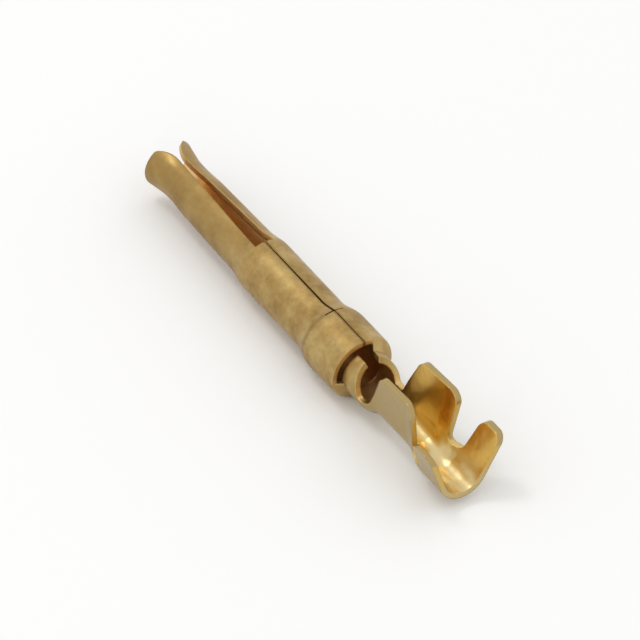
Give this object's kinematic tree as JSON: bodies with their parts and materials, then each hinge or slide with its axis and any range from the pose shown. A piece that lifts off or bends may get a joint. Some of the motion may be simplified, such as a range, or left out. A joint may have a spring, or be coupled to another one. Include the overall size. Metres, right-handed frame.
{
  "type": "d-sub socket contact",
  "caption": "Gold plated crimp socket contact for a d-sub connector: slotted spring tube with a flared mouth, a stop collar and an open crimp with wire and insulation wings",
  "frame": {"origin": "on the axis of the tube, where the collar starts to rise behind the plain tube", "axes": "+X along the tube towards the crimp end, so the mouth that takes the pin is at -X; +Z through the rolled seam and the open side of the crimp"},
  "size_m": [0.0151, 0.0025, 0.0025],
  "materials": {
    "gold": "satin gold plating over copper alloy, burnished in patches"
  },
  "bodies": {
    "root": {"socket_contact": "gold"}
  },
  "joints": []
}
